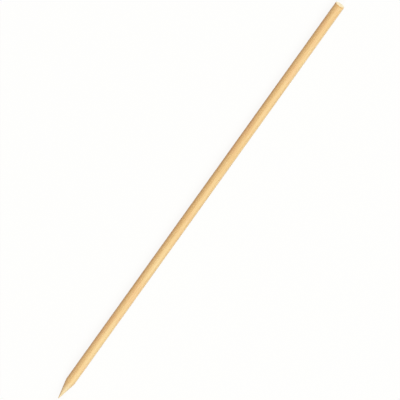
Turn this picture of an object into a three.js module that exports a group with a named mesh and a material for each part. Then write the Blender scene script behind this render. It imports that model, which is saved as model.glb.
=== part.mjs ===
// A round wooden skewer: one straight stick with a ground point at one end and a sawn butt at the other.
// It lies on its side along X, with the point towards -X, the butt towards +X and its lowest line on Z = 0.
// All sizes are in millimetres.

import * as THREE from "three";

// Driving dimensions
const skewerLength = 200; // from the end of the nose to the butt face
const shankDiameter = 4;
const pointLength = 8.7; // from the end of the nose to where the cone's flank would meet the shank
const noseRadius = 0.18; // the point is left a little blunt, so that it does not snap off
const shoulderRadius = 4; // soft bend that grinding leaves between the cone and the shank
const buttEdgeRadius = 0.2; // tumbling breaks the sharp sawn edge

// How finely the round surfaces are drawn
const sidesAround = 48; // a multiple of 4 puts a corner at the bottom, the top and each side
const arcDivisions = 3; // each arc of the outline is drawn in twice as many steps

const woodColour = 0xe3bb80;
const woodRoughness = 0.6;

const shankRadius = shankDiameter / 2;

// Half the angle of the cone whose flank touches the nose and would meet the shank at pointLength.
function coneHalfAngle() {
  const noseToShoulder = pointLength - noseRadius;
  const reach = Math.hypot(shankRadius, noseToShoulder);
  return Math.acos(noseRadius / reach) - Math.atan2(noseToShoulder, shankRadius);
}

// Half the skewer's outline: x is the distance from the axis and y the distance from the end of the nose.
// Each arc is tangent to the straight lines that it joins, and the outline starts and ends on the axis.
function skewerOutline() {
  const halfAngle = coneHalfAngle();
  const shoulderTangent = shoulderRadius * Math.tan(halfAngle / 2);
  const outline = new THREE.Path();
  // Blunt nose
  outline.absarc(0, noseRadius, noseRadius, -Math.PI / 2, -halfAngle);
  // Flank of the cone, then the bend into the shank
  outline.absarc(
    shankRadius - shoulderRadius,
    pointLength + shoulderTangent,
    shoulderRadius,
    -halfAngle,
    0,
  );
  // Shank, then the broken edge of the butt
  outline.absarc(
    shankRadius - buttEdgeRadius,
    skewerLength - buttEdgeRadius,
    buttEdgeRadius,
    0,
    Math.PI / 2,
  );
  // Sawn face of the butt
  outline.lineTo(0, skewerLength);
  return outline.getPoints(arcDivisions);
}

function paleWood() {
  return new THREE.MeshStandardMaterial({
    color: woodColour,
    roughness: woodRoughness,
    metalness: 0,
  });
}

function makeSkewer() {
  const turned = new THREE.LatheGeometry(skewerOutline(), sidesAround);
  const skewer = new THREE.Mesh(turned, paleWood());
  skewer.name = "skewer";
  // The lathe turns about Y, so the stick is laid down along X, on the surface, with its middle over the origin
  skewer.rotation.z = -Math.PI / 2;
  skewer.position.set(-skewerLength / 2, 0, shankRadius);
  return skewer;
}

const part = new THREE.Group();
part.name = "wooden_skewer";
part.add(makeSkewer());

export default part;
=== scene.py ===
import math

import bmesh
import bpy
from mathutils import Matrix, Vector, noise


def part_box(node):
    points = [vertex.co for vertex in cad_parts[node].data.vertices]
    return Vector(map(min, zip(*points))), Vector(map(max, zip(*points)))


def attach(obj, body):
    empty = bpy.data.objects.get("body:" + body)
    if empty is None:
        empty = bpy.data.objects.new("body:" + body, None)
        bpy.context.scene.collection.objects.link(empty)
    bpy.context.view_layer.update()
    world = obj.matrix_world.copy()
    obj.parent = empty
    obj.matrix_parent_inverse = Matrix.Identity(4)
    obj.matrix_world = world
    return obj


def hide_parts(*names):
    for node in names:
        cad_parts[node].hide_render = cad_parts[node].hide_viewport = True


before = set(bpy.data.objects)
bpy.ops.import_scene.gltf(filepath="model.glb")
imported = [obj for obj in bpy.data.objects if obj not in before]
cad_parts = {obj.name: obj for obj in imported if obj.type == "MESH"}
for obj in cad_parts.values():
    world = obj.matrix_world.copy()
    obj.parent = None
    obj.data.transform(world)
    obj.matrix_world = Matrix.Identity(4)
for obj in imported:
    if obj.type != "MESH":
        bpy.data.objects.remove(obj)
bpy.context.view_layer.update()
print("frame loaded")

mm = 0.001
alongX = Vector((1, 0, 0))
alongY = Vector((0, 1, 0))
# In metres. What is nearer to the axis lies on it, and vertices that are nearer to each other are one
axisReach = 1e-6
mergeReach = 1e-7

# Where the stick lies, from the frame
stickLow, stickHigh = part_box("skewer")
stickLength = stickHigh.x - stickLow.x
stickRadius = (stickHigh.z - stickLow.z) / 2
stickMiddle = (stickLow + stickHigh) / 2


# sRGB hex to linear RGBA
def hexColour(text):
    values = [int(text[i : i + 2], 16) / 255 for i in (1, 3, 5)]
    linear = [v / 12.92 if v <= 0.04045 else ((v + 0.055) / 1.055) ** 2.4 for v in values]
    return (*linear, 1.0)


# Adds a node with its settings. An input takes a value, a socket, or a node for its first output
def addNode(tree, kind, settings, inputs):
    node = tree.nodes.new(kind)
    for name, value in settings.items():
        setattr(node, name, value)
    for name, value in inputs.items():
        socket = next(s for s in node.inputs if s.enabled and name in (s.identifier, s.name))
        if isinstance(value, bpy.types.Node):
            value = next(s for s in value.outputs if s.enabled)
        if isinstance(value, bpy.types.NodeSocket):
            tree.links.new(value, socket)
        else:
            socket.default_value = value
    return node


# Shape of the stick

skewer = {
    # lengths in mm
    "pointLength": 8.7,  # end of the nose to where the cone's flank would meet the shank
    "noseRadius": 0.18,
    "shoulderRadius": 4.0,
    "buttEdgeRadius": 0.2,
    # what the tools and the grain leave on the surface, in mm. It only ever cuts into the true outline
    "fibreLength": 14.0,
    "fibreWidth": 0.32,
    "fibreDepth": 0.022,
    "fibreStart": 0.05,  # level of the noise at which a groove begins
    "fibreRise": 0.5,  # and how much above that it is where the groove has its depth
    "fineLength": 5.0,
    "fineWidth": 0.15,
    "fineDepth": 0.008,
    "waveLength": 38.0,  # slow change of thickness, left by the drawing die
    "waveWidth": 3.0,
    "waveDepth": 0.02,
    "grindPitch": 0.46,  # rings left on the cone by the belt
    "grindDepth": 0.007,
    "grindWander": 1.5,  # length over which a ring wavers
    "grindFade": (1.2, 0.4),  # the rings fade out over this much of the cone and of the shank
    "sawPitch": 0.28,  # lines left on the butt by the saw
    "sawDepth": 0.008,
    "sawWaver": 0.4,  # how far a line strays, in pitches
    "tornWidth": 0.4,  # fibres that the saw tears out of the butt
    "tornDepth": 0.012,
    "sawnFacing": 0.95,  # faces of the butt that point at least this much along the stick are sawn
    # how finely the mesh is drawn: rows in mm, and steps
    "shankRow": 0.85,
    "coneRow": 0.11,
    "buttRow": 0.13,
    "sides": 224,
    "noseSteps": 6,
    "shoulderSteps": 8,
    "edgeSteps": 5,
}


# An arc on from a vertex, which gives back its last one
def drawArc(bm, vertex, centre, angle, steps):
    swept = bmesh.ops.spin(
        bm, geom=[vertex], cent=centre, axis=alongY, angle=angle, steps=steps, use_merge=False
    )
    return next(v for v in swept["geom_last"] if isinstance(v, bmesh.types.BMVert))


# A straight line on from a vertex, in equal rows, which gives back its last one
def drawLine(bm, vertex, end, row):
    rows = max(1, round((end - vertex.co).length / row))
    step = (end - vertex.co) / rows
    for _ in range(rows):
        vertex = bmesh.ops.extrude_vert_indiv(bm, verts=[vertex])["verts"][0]
        vertex.co += step
    return vertex


# Half the outline, above the axis, from the end of the nose to the middle of the butt
def drawOutline(bm):
    nose = skewer["noseRadius"] * mm
    shoulder = skewer["shoulderRadius"] * mm
    edge = skewer["buttEdgeRadius"] * mm
    point = skewer["pointLength"] * mm
    reach = math.hypot(stickRadius, point - nose)
    halfAngle = math.acos(nose / reach) - math.atan2(point - nose, stickRadius)
    tangent = shoulder * math.tan(halfAngle / 2)

    def place(fromNose, fromAxis):
        return Vector((stickLow.x + fromNose, stickMiddle.y, stickMiddle.z + fromAxis))

    vertex = bm.verts.new(place(0, 0))
    vertex = drawArc(bm, vertex, place(nose, 0), math.pi / 2 - halfAngle, skewer["noseSteps"])
    flankEnd = place(
        point - tangent * math.cos(halfAngle), stickRadius - tangent * math.sin(halfAngle)
    )
    vertex = drawLine(bm, vertex, flankEnd, skewer["coneRow"] * mm)
    bend = place(point + tangent, stickRadius - shoulder)
    vertex = drawArc(bm, vertex, bend, halfAngle, skewer["shoulderSteps"])
    shankEnd = place(stickLength - edge, stickRadius)
    vertex = drawLine(bm, vertex, shankEnd, skewer["shankRow"] * mm)
    corner = place(stickLength - edge, stickRadius - edge)
    vertex = drawArc(bm, vertex, corner, math.pi / 2, skewer["edgeSteps"])
    drawLine(bm, vertex, place(stickLength, 0), skewer["buttRow"] * mm)


# 0 up to low, 1 from high on, and a soft rise between them
def smoothStep(low, high, value):
    t = min(1.0, max(0.0, (value - low) / (high - low)))
    return t * t * (3 - 2 * t)


# From a wave or a noise between -1 and 1 to a share between 0 and 1
def asShare(value):
    return 0.5 + 0.5 * value


# How far the grain, the die and the belt cut in from the side, in mm. The place is in mm too
def sideCut(place, fromNose):
    def grain(length, width):
        return noise.noise(Vector((place.x / length, place.y / width, place.z / width)))

    fibre = max(0.0, grain(skewer["fibreLength"], skewer["fibreWidth"]) - skewer["fibreStart"])
    fine = asShare(grain(skewer["fineLength"], skewer["fineWidth"]))
    wave = asShare(grain(skewer["waveLength"], skewer["waveWidth"]))
    waver = grain(skewer["grindWander"], skewer["grindWander"])
    ring = asShare(math.sin(2 * math.pi * (fromNose / skewer["grindPitch"] + waver)))
    onTheCone, onTheShank = skewer["grindFade"]
    shoulder = skewer["pointLength"]
    onCone = 1 - smoothStep(shoulder - onTheCone, shoulder + onTheShank, fromNose)
    cut = skewer["fibreDepth"] * fibre / skewer["fibreRise"] + skewer["fineDepth"] * fine
    return cut + skewer["waveDepth"] * wave * (1 - onCone) + skewer["grindDepth"] * ring * onCone


# How far the saw cuts and tears in from the butt's face, in mm
def buttCut(place):
    waver = skewer["sawWaver"] * noise.noise(place)
    saw = asShare(math.sin(2 * math.pi * (place.z / skewer["sawPitch"] + waver)))
    torn = asShare(noise.noise(place / skewer["tornWidth"]))
    return skewer["sawDepth"] * saw + skewer["tornDepth"] * torn


def buildStick():
    bm = bmesh.new()
    drawOutline(bm)
    bmesh.ops.spin(
        bm,
        geom=bm.verts[:] + bm.edges[:],
        cent=stickMiddle,
        axis=alongX,
        angle=2 * math.pi,
        steps=skewer["sides"],
        use_merge=True,
    )
    bmesh.ops.remove_doubles(bm, verts=bm.verts[:], dist=mergeReach)
    bmesh.ops.recalc_face_normals(bm, faces=bm.faces[:])
    # The spin leaves its faces in an order that varies from run to run, so they are put in a fixed one
    sweep = Vector((1, 0.031, 0.017))  # no two faces lie equally far along it
    bm.faces.sort(key=lambda face: face.calc_center_median().dot(sweep))
    return bm


# Cuts the grain and the tool marks into the turned shape. The saw's marks take over on the butt's edge
def cutRelief(bm):
    buttAt = stickLength / mm
    for vertex in bm.verts:
        outward = vertex.co - stickMiddle
        outward.x = 0
        fromAxis = outward.length
        fromNose = (vertex.co.x - stickLow.x) / mm
        place = (vertex.co - stickMiddle) / mm
        onButt = smoothStep(buttAt - skewer["buttEdgeRadius"] / 2, buttAt, fromNose)
        fade = min(1.0, fromAxis / stickRadius) * (1 - onButt)
        if fromAxis > axisReach:
            vertex.co -= outward.normalized() * sideCut(place, fromNose) * fade * mm
        if onButt:
            vertex.co.x -= buttCut(place) * onButt * mm


# Smooth faces, and the sawn face of the butt set apart for its own finish
def markFaces(bm):
    for face in bm.faces:
        face.smooth = True
        atButt = face.calc_center_median().x > stickHigh.x - skewer["buttEdgeRadius"] * mm
        face.material_index = int(atButt and face.normal.x > skewer["sawnFacing"])


# How the surface is laid out flat for baking, in shares of the map's width
layout = {
    "edge": 0.01,  # left free round each patch
    "stripHeight": 0.42,
    "discSize": 0.105,
    "coneStretch": 2.0,  # the point gets twice the shank's share of the length
}


# Two strips, one above the other, hold the turned side, and a disc over them the sawn face
def unrollStick(bm):
    layer = bm.loops.layers.uv.new("OFBake")
    edge, strip, disc = layout["edge"], layout["stripHeight"], layout["discSize"]
    coneEnd = skewer["pointLength"] * mm + stickRadius
    sideRun = stickLength + 2 * stickRadius
    half = (sideRun + (layout["coneStretch"] - 1) * coneEnd) / 2

    # How far along the outline a place lies, from the nose
    def runAt(place):
        fromAxis = math.hypot(place.y, place.z)
        run = place.x + stickLength / 2 + (fromAxis if place.x < 0 else 2 * stickRadius - fromAxis)
        return run + (layout["coneStretch"] - 1) * min(run, coneEnd)

    # The turn about the axis, from the lowest line, where the patches have their seam
    def angleAt(place):
        return math.atan2(place.y, -place.z) % (2 * math.pi)

    for face in bm.faces:
        middle = face.calc_center_median() - stickMiddle
        row = int(runAt(middle) > half)
        for loop in face.loops:
            place = loop.vert.co - stickMiddle
            if face.material_index:
                across = Vector((place.y, place.z)) / (2 * stickRadius) * disc
                loop[layer].uv = Vector((0.5, 1 - edge - disc / 2)) + across
                continue
            onAxis = math.hypot(place.y, place.z) < axisReach
            turn = 0 if onAxis else angleAt(place) - angleAt(middle)
            turn = (turn + math.pi) % (2 * math.pi) - math.pi
            around = (angleAt(middle) + turn) / (2 * math.pi)
            along = (runAt(place) - row * half) / half
            loop[layer].uv = (
                edge + along * (1 - 2 * edge),
                edge + row * (strip + 2 * edge) + around * strip,
            )


def makeStick():
    bm = buildStick()
    markFaces(bm)
    unrollStick(bm)
    cutRelief(bm)
    print("stick", len(bm.verts), "vertices", len(bm.faces), "faces")
    mesh = bpy.data.meshes.new("skewer_stick")
    bm.to_mesh(mesh)
    bm.free()
    stick = bpy.data.objects.new("skewer_stick", mesh)
    bpy.context.scene.collection.objects.link(stick)
    return stick


# Finishes of the stick

wood = {
    # sRGB colours
    "sapwood": "#F6D19B",
    "lateWood": "#E0AE72",
    "ground": "#FBE4C0",
    "endGrain": "#FFF3DE",
    "endShade": "#F1CF98",
    "openPore": "#C99C63",
    # sizes in mm
    "ringSpacing": 1.7,
    "ringHeart": (26.0, 13.0),  # how far beside and below the stick the tree's heart lay
    "ringRun": 90.0,  # length over which a ring wanders across the stick
    "paintedRimShade": 0.7,  # painted shade: the wood is drawn darker this close to the butt, which tones down the light that its rounded rim catches
    "groundFade": 4.5,  # length of the cone over which it grows paler
    "beltMark": 0.14,  # width of the fine scratches that the grinding belt leaves round the cone
    "beltRun": 1.6,  # and how far each runs round
    "hollowDepth": 0.02,  # of the vessels and the scratches
    "mottleSize": 0.6,  # soft shades on the sawn butt
    "poreSpacing": 0.19,  # vessels cut across on the butt
    # shares of a colour in what lies under it
    "ringShare": 0.34,
    "ringShareAtButt": 0.36,
    # how much of the painted shade at the butt's rim is laid on
    "paintedRimShadeShare": 0.8,
    "groundShare": 0.5,  # each time that it is laid on
    "mottleShare": 0.35,
    "poreShare": 0.3,
    # where a pattern begins and where it is full, as levels of the noise or the wave
    "ringLine": (0.84, 1.0),
    "poreEdge": (0.4, 0.05),  # from a pore's middle, in pore spacings
    # what the surface does with the light
    "ior": 1.5,
    "tumbledRoughness": 0.48,
    "dryRoughness": 0.68,  # of the open vessels and the ground cone
    "sawnRoughness": 0.8,
    "hollowStrength": 0.5,
    "fuzz": 0.15,  # sheen of the fine fibres that tumbling leaves
    "fuzzRoughness": 0.5,
    # Layers of colour over the sapwood: soft noise drawn out along the stick, with sizes in mm. Start and
    # full are levels of the noise. The last is about twice as wide as real vessels, so that it shows
    "broadLayers": (
        {"colour": "#FBE0AE", "share": 0.36, "length": 40, "width": 2.4, "start": 0.42, "full": 0.66},
        {"colour": "#F4BC90", "share": 0.32, "length": 8, "width": 2.6, "start": 0.46, "full": 0.7},
    ),
    "fineLayers": (
        {"colour": "#E8B877", "share": 0.44, "length": 26, "width": 0.7, "start": 0.48, "full": 0.76},
        {"colour": "#FFECC8", "share": 0.4, "length": 1.8, "width": 0.28, "start": 0.58, "full": 0.74},
        {"colour": "#C99A5E", "share": 0.42, "length": 7, "width": 0.16, "start": 0.6, "full": 0.78},
    ),
}


def newMaterial(name):
    material = bpy.data.materials.new(name)
    material.use_nodes = True
    material.node_tree.nodes.clear()
    return material, material.node_tree


# Thin darker lines where the growth rings pass through the stick, the same on its side and its end
def growthRings(tree, place, share):
    heartAside, heartBelow = wood["ringHeart"]
    start, full = wood["ringLine"]
    squashed = addNode(
        tree,
        "ShaderNodeMapping",
        {},
        {
            "Vector": place,
            "Location": (0, heartAside * mm, heartBelow * mm),
            "Scale": (wood["ringSpacing"] / wood["ringRun"], 1, 1),
        },
    )
    rings = addNode(
        tree,
        "ShaderNodeTexWave",
        {"wave_type": "RINGS", "rings_direction": "X"},
        {
            "Vector": squashed,
            "Scale": math.pi / 10 / (wood["ringSpacing"] * mm),  # the wave repeats every pi / 10
            "Distortion": 1.6,
            "Detail": 1.0,
            "Detail Scale": 1.0,
        },
    )
    return addNode(
        tree,
        "ShaderNodeMapRange",
        {"interpolation_type": "SMOOTHSTEP"},
        {"Value": rings, "From Min": start, "From Max": full, "To Min": 0.0, "To Max": share},
    )


# The sapwood's colour with its rings, soft patches and fine grain, and how much of a vessel shows. The
# cone's paler colour is laid on after each group of layers, so that the fine grain still shows there
def grainColours(tree, place, ground):
    colour = addNode(
        tree,
        "ShaderNodeMix",
        {"data_type": "RGBA"},
        {
            "Factor_Float": growthRings(tree, place, wood["ringShare"]),
            "A_Color": hexColour(wood["sapwood"]),
            "B_Color": hexColour(wood["lateWood"]),
        },
    )
    for layers in (wood["broadLayers"], wood["fineLayers"]):
        for layer in layers:
            across = 1 / (layer["width"] * mm)
            drawnOut = addNode(
                tree,
                "ShaderNodeMapping",
                {},
                {"Vector": place, "Scale": (1 / (layer["length"] * mm), across, across)},
            )
            pattern = addNode(
                tree,
                "ShaderNodeTexNoise",
                {},
                {"Vector": drawnOut, "Scale": 1.0, "Detail": 1.5, "Roughness": 0.5},
            )
            amount = addNode(
                tree,
                "ShaderNodeMapRange",
                {"interpolation_type": "SMOOTHSTEP"},
                {
                    "Value": pattern,
                    "From Min": layer["start"],
                    "From Max": layer["full"],
                    "To Min": 0.0,
                    "To Max": layer["share"],
                },
            )
            colour = addNode(
                tree,
                "ShaderNodeMix",
                {"data_type": "RGBA"},
                {"Factor_Float": amount, "A_Color": colour, "B_Color": hexColour(layer["colour"])},
            )
        colour = addNode(
            tree,
            "ShaderNodeMix",
            {"data_type": "RGBA"},
            {"Factor_Float": ground, "A_Color": colour, "B_Color": hexColour(wood["ground"])},
        )
    return colour, amount  # the last layer is the vessels


# Birch drawn round through a die and tumbled: straight pale grain, fine vessel lines, a silky sheen
def drawnBirch():
    material, tree = newMaterial("birch_drawn_and_tumbled")
    place = addNode(tree, "ShaderNodeTexCoord", {}, {}).outputs["Object"]
    alongStick = addNode(tree, "ShaderNodeSeparateXYZ", {}, {"Vector": place}).outputs["X"]
    # The cone is freshly ground, paler and duller towards the point
    shoulder = stickLow.x + skewer["pointLength"] * mm
    ground = addNode(
        tree,
        "ShaderNodeMapRange",
        {"interpolation_type": "SMOOTHSTEP"},
        {
            "Value": alongStick,
            "From Min": shoulder,
            "From Max": shoulder - wood["groundFade"] * mm,
            "To Min": 0.0,
            "To Max": wood["groundShare"],
        },
    )
    colour, vessels = grainColours(tree, place, ground)
    # Painted shade: the colour darkens towards the butt's rim, which tones down the light that the
    # rounded rim catches
    rimShade = addNode(
        tree,
        "ShaderNodeMapRange",
        {"interpolation_type": "SMOOTHSTEP"},
        {
            "Value": alongStick,
            "From Min": stickHigh.x - wood["paintedRimShade"] * mm,
            "From Max": stickHigh.x,
            "To Min": 0.0,
            "To Max": wood["paintedRimShadeShare"],
        },
    )
    colour = addNode(
        tree,
        "ShaderNodeMix",
        {"data_type": "RGBA"},
        {"Factor_Float": rimShade, "A_Color": colour, "B_Color": hexColour(wood["lateWood"])},
    )
    # The open vessels and the ground cone are dry, so they shine less
    dry = addNode(
        tree, "ShaderNodeMath", {"operation": "MAXIMUM"}, {"Value": vessels, "Value_001": ground}
    )
    rough = addNode(
        tree,
        "ShaderNodeMapRange",
        {},
        {"Value": dry, "To Min": wood["tumbledRoughness"], "To Max": wood["dryRoughness"]},
    )
    turn = 1 / (wood["beltRun"] * mm)
    drawnRound = addNode(
        tree,
        "ShaderNodeMapping",
        {},
        {"Vector": place, "Scale": (1 / (wood["beltMark"] * mm), turn, turn)},
    )
    scratches = addNode(tree, "ShaderNodeTexNoise", {}, {"Vector": drawnRound, "Scale": 1.0})
    beltMarks = addNode(
        tree, "ShaderNodeMath", {"operation": "MULTIPLY"}, {"Value": scratches, "Value_001": ground}
    )
    hollows = addNode(
        tree, "ShaderNodeMath", {"operation": "ADD"}, {"Value": vessels, "Value_001": beltMarks}
    )
    bump = addNode(
        tree,
        "ShaderNodeBump",
        {"invert": True},
        {
            "Strength": wood["hollowStrength"],
            "Distance": wood["hollowDepth"] * mm,
            "Height": hollows,
        },
    )
    shader = addNode(
        tree,
        "ShaderNodeBsdfPrincipled",
        {},
        {
            "Base Color": colour,
            "Roughness": rough,
            "Normal": bump,
            "IOR": wood["ior"],
            "Sheen Weight": wood["fuzz"],
            "Sheen Roughness": wood["fuzzRoughness"],
        },
    )
    addNode(tree, "ShaderNodeOutputMaterial", {}, {"Surface": shader})
    return material


# Birch sawn across the grain: pale, dry and matt, with ring arcs and open vessels
def sawnEndGrain():
    material, tree = newMaterial("birch_sawn_end_grain")
    place = addNode(tree, "ShaderNodeTexCoord", {}, {}).outputs["Object"]
    mottle = addNode(
        tree,
        "ShaderNodeTexNoise",
        {},
        {"Vector": place, "Scale": 1 / (wood["mottleSize"] * mm), "Detail": 3.0},
    )
    shade = addNode(
        tree,
        "ShaderNodeMapRange",
        {},
        {"Value": mottle, "To Min": 0.0, "To Max": wood["mottleShare"]},
    )
    colour = addNode(
        tree,
        "ShaderNodeMix",
        {"data_type": "RGBA"},
        {
            "Factor_Float": shade,
            "A_Color": hexColour(wood["endGrain"]),
            "B_Color": hexColour(wood["endShade"]),
        },
    )
    colour = addNode(
        tree,
        "ShaderNodeMix",
        {"data_type": "RGBA"},
        {
            "Factor_Float": growthRings(tree, place, wood["ringShareAtButt"]),
            "A_Color": colour,
            "B_Color": hexColour(wood["lateWood"]),
        },
    )
    # Vessels cut across: scattered dots, about 0.1 mm wide, with soft edges
    edge, core = wood["poreEdge"]
    spots = addNode(
        tree,
        "ShaderNodeTexVoronoi",
        {},
        {"Vector": place, "Scale": 1 / (wood["poreSpacing"] * mm)},
    )
    pores = addNode(
        tree,
        "ShaderNodeMapRange",
        {"interpolation_type": "SMOOTHSTEP"},
        {
            "Value": spots,
            "From Min": edge,
            "From Max": core,
            "To Min": 0.0,
            "To Max": wood["poreShare"],
        },
    )
    colour = addNode(
        tree,
        "ShaderNodeMix",
        {"data_type": "RGBA"},
        {"Factor_Float": pores, "A_Color": colour, "B_Color": hexColour(wood["openPore"])},
    )
    shader = addNode(
        tree,
        "ShaderNodeBsdfPrincipled",
        {},
        {"Base Color": colour, "Roughness": wood["sawnRoughness"], "IOR": wood["ior"]},
    )
    addNode(tree, "ShaderNodeOutputMaterial", {}, {"Surface": shader})
    return material


stick = makeStick()
stick.data.materials.append(drawnBirch())
stick.data.materials.append(sawnEndGrain())
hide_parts("skewer")
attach(stick, "root")
print("stick finished")

# Floor and light

white = (1, 1, 1, 1)
studio = {
    "floorSize": 40.0,  # metres
    "floorUnlit": 0.9,  # share of the floor's picture that takes no shadow, which keeps the shadow faint
    "floorBounce": "#8C857A",  # what the floor gives back to the stick
    "skyColour": "#FFDBB2",  # warm on the shaded side, and the cool lamps make up for it on the lit side
    "skyLevel": 0.48,
    # Soft round lamps. At level 1 a white surface that faces the lamp would show as white. The angles,
    # in degrees, are towards the butt and to the side that faces the bottom right of the picture. The
    # gloss leaves out the lamp that stands low at the butt, whose streak would burn out along the stick
    "lampDistance": 4.0,  # metres
    "lampSize": 2.0,
    "lamps": {
        "butt_softbox": {
            "level": 0.82, "towardsButt": 68, "aside": 18, "colour": "#ECFFFF", "inGloss": False
        },
        "sheen_softbox": {
            "level": 0.62, "towardsButt": -45, "aside": 38, "colour": "#E1FEFF", "inGloss": True
        },
    },
}


# 1 for what the camera sees, straight or through a gloss or a glass, and 0 for what lights the stick
def seenRays(tree):
    path = addNode(tree, "ShaderNodeLightPath", {}, {})
    seen = path.outputs["Is Camera Ray"]
    for kind in ("Is Glossy Ray", "Is Transmission Ray"):
        seen = addNode(
            tree,
            "ShaderNodeMath",
            {"operation": "MAXIMUM"},
            {"Value": seen, "Value_001": path.outputs[kind]},
        )
    return seen


def whiteFloor():
    material, tree = newMaterial("white_floor")
    lit = addNode(tree, "ShaderNodeBsdfDiffuse", {}, {"Color": white})
    unlit = addNode(tree, "ShaderNodeEmission", {}, {"Color": white, "Strength": 1.0})
    bounce = addNode(tree, "ShaderNodeBsdfDiffuse", {}, {"Color": hexColour(studio["floorBounce"])})
    picture = addNode(
        tree,
        "ShaderNodeMixShader",
        {},
        {"Fac": studio["floorUnlit"], "Shader": lit, "Shader_001": unlit},
    )
    floor = addNode(
        tree,
        "ShaderNodeMixShader",
        {},
        {"Fac": seenRays(tree), "Shader": bounce, "Shader_001": picture},
    )
    # From below, the floor lets the stick show
    floor = addNode(
        tree,
        "ShaderNodeMixShader",
        {},
        {
            "Fac": addNode(tree, "ShaderNodeNewGeometry", {}, {}).outputs["Backfacing"],
            "Shader": floor,
            "Shader_001": addNode(tree, "ShaderNodeBsdfTransparent", {}, {}),
        },
    )
    addNode(tree, "ShaderNodeOutputMaterial", {}, {"Surface": floor})
    return material


def makeFloor():
    bm = bmesh.new()
    bmesh.ops.create_grid(bm, x_segments=1, y_segments=1, size=studio["floorSize"] / 2)
    bmesh.ops.translate(bm, verts=bm.verts[:], vec=(0, 0, stickLow.z))
    mesh = bpy.data.meshes.new("floor")
    bm.to_mesh(mesh)
    bm.free()
    mesh.materials.append(whiteFloor())
    floor = bpy.data.objects.new("floor", mesh)
    bpy.context.scene.collection.objects.link(floor)


def makeWorld():
    world = bpy.data.worlds.new("studio")
    bpy.context.scene.world = world
    world.use_nodes = True
    tree = world.node_tree
    tree.nodes.clear()
    seen = seenRays(tree)
    colour = addNode(
        tree,
        "ShaderNodeMix",
        {"data_type": "RGBA"},
        {"Factor_Float": seen, "A_Color": hexColour(studio["skyColour"]), "B_Color": white},
    )
    level = addNode(
        tree, "ShaderNodeMapRange", {}, {"Value": seen, "To Min": studio["skyLevel"], "To Max": 1.0}
    )
    light = addNode(tree, "ShaderNodeBackground", {}, {"Color": colour, "Strength": level})
    addNode(tree, "ShaderNodeOutputWorld", {}, {"Surface": light})


def makeLamp(name, settings):
    slide, aside = math.radians(settings["towardsButt"]), math.radians(settings["aside"])
    direction = Vector(
        (math.sin(slide), -math.cos(slide) * math.sin(aside), math.cos(slide) * math.cos(aside))
    )
    softbox = bpy.data.lights.new(name, "AREA")
    softbox.shape = "DISK"
    softbox.size = studio["lampSize"]
    softbox.color = hexColour(settings["colour"])[:3]
    softbox.energy = settings["level"] * (math.pi * studio["lampDistance"]) ** 2
    lamp = bpy.data.objects.new(name, softbox)
    lamp.location = stickMiddle + direction * studio["lampDistance"]
    lamp.rotation_mode = "QUATERNION"
    lamp.rotation_quaternion = direction.to_track_quat("Z", "Y")
    lamp.visible_camera = False
    lamp.visible_glossy = settings["inGloss"]
    bpy.context.scene.collection.objects.link(lamp)


makeFloor()
makeWorld()
for name, settings in studio["lamps"].items():
    makeLamp(name, settings)
print("floor and light made")

# Camera, from where the two ends of the stick lie in the photograph

photo = {
    # pixels of the 400 x 400 frame, x to the right and y down
    "side": 400,
    "tip": (58.35, 398.25),
    "butt": (340.1, 4.75),
    "lean": 19.0,  # degrees that the butt leans towards the camera
    "lens": 1000.0,  # mm, long enough to draw the stick at an even width
    "sensor": 36.0,
    "near": 0.1,  # metres, the nearest and the farthest that it draws
    "far": 100.0,
}


def makeCamera():
    lean = math.radians(photo["lean"])
    towards = Vector((math.sin(lean), 0, math.cos(lean)))
    stickLine = Vector((math.cos(lean), 0, -math.sin(lean)))
    half = photo["side"] / 2
    tipX, tipY = photo["tip"][0] - half, half - photo["tip"][1]
    buttX, buttY = photo["butt"][0] - half, half - photo["butt"][1]
    turn = math.atan2(buttY - tipY, buttX - tipX)
    right = math.cos(turn) * stickLine - math.sin(turn) * alongY
    up = math.sin(turn) * stickLine + math.cos(turn) * alongY
    # Where the ends lie along and beside the stick's line, seen from 1 m away
    focal = photo["side"] * photo["lens"] / photo["sensor"]
    tipAt = (tipX * math.cos(turn) + tipY * math.sin(turn)) / focal
    buttAt = (buttX * math.cos(turn) + buttY * math.sin(turn)) / focal
    aside = (buttY * math.cos(turn) - buttX * math.sin(turn)) / focal
    flat = stickLength / 2 * math.cos(lean)
    deep = stickLength / 2 * math.sin(lean)
    distance = (2 * flat + (buttAt + tipAt) * deep) / (buttAt - tipAt)
    shift = flat - buttAt * (distance - deep)
    aim = stickMiddle + stickLine * shift - alongY * aside * distance
    camera = bpy.data.objects.new("camera", bpy.data.cameras.new("camera"))
    camera.data.lens = photo["lens"]
    camera.data.sensor_width = photo["sensor"]
    camera.data.clip_start = photo["near"]
    camera.data.clip_end = photo["far"]
    turned = Matrix((right, up, towards)).transposed().to_4x4()
    camera.matrix_world = Matrix.Translation(aim + towards * distance) @ turned
    bpy.context.scene.collection.objects.link(camera)
    bpy.context.scene.camera = camera
    print("camera", round(distance, 3), "m away")


makeCamera()
bpy.context.scene.view_settings.view_transform = "Standard"
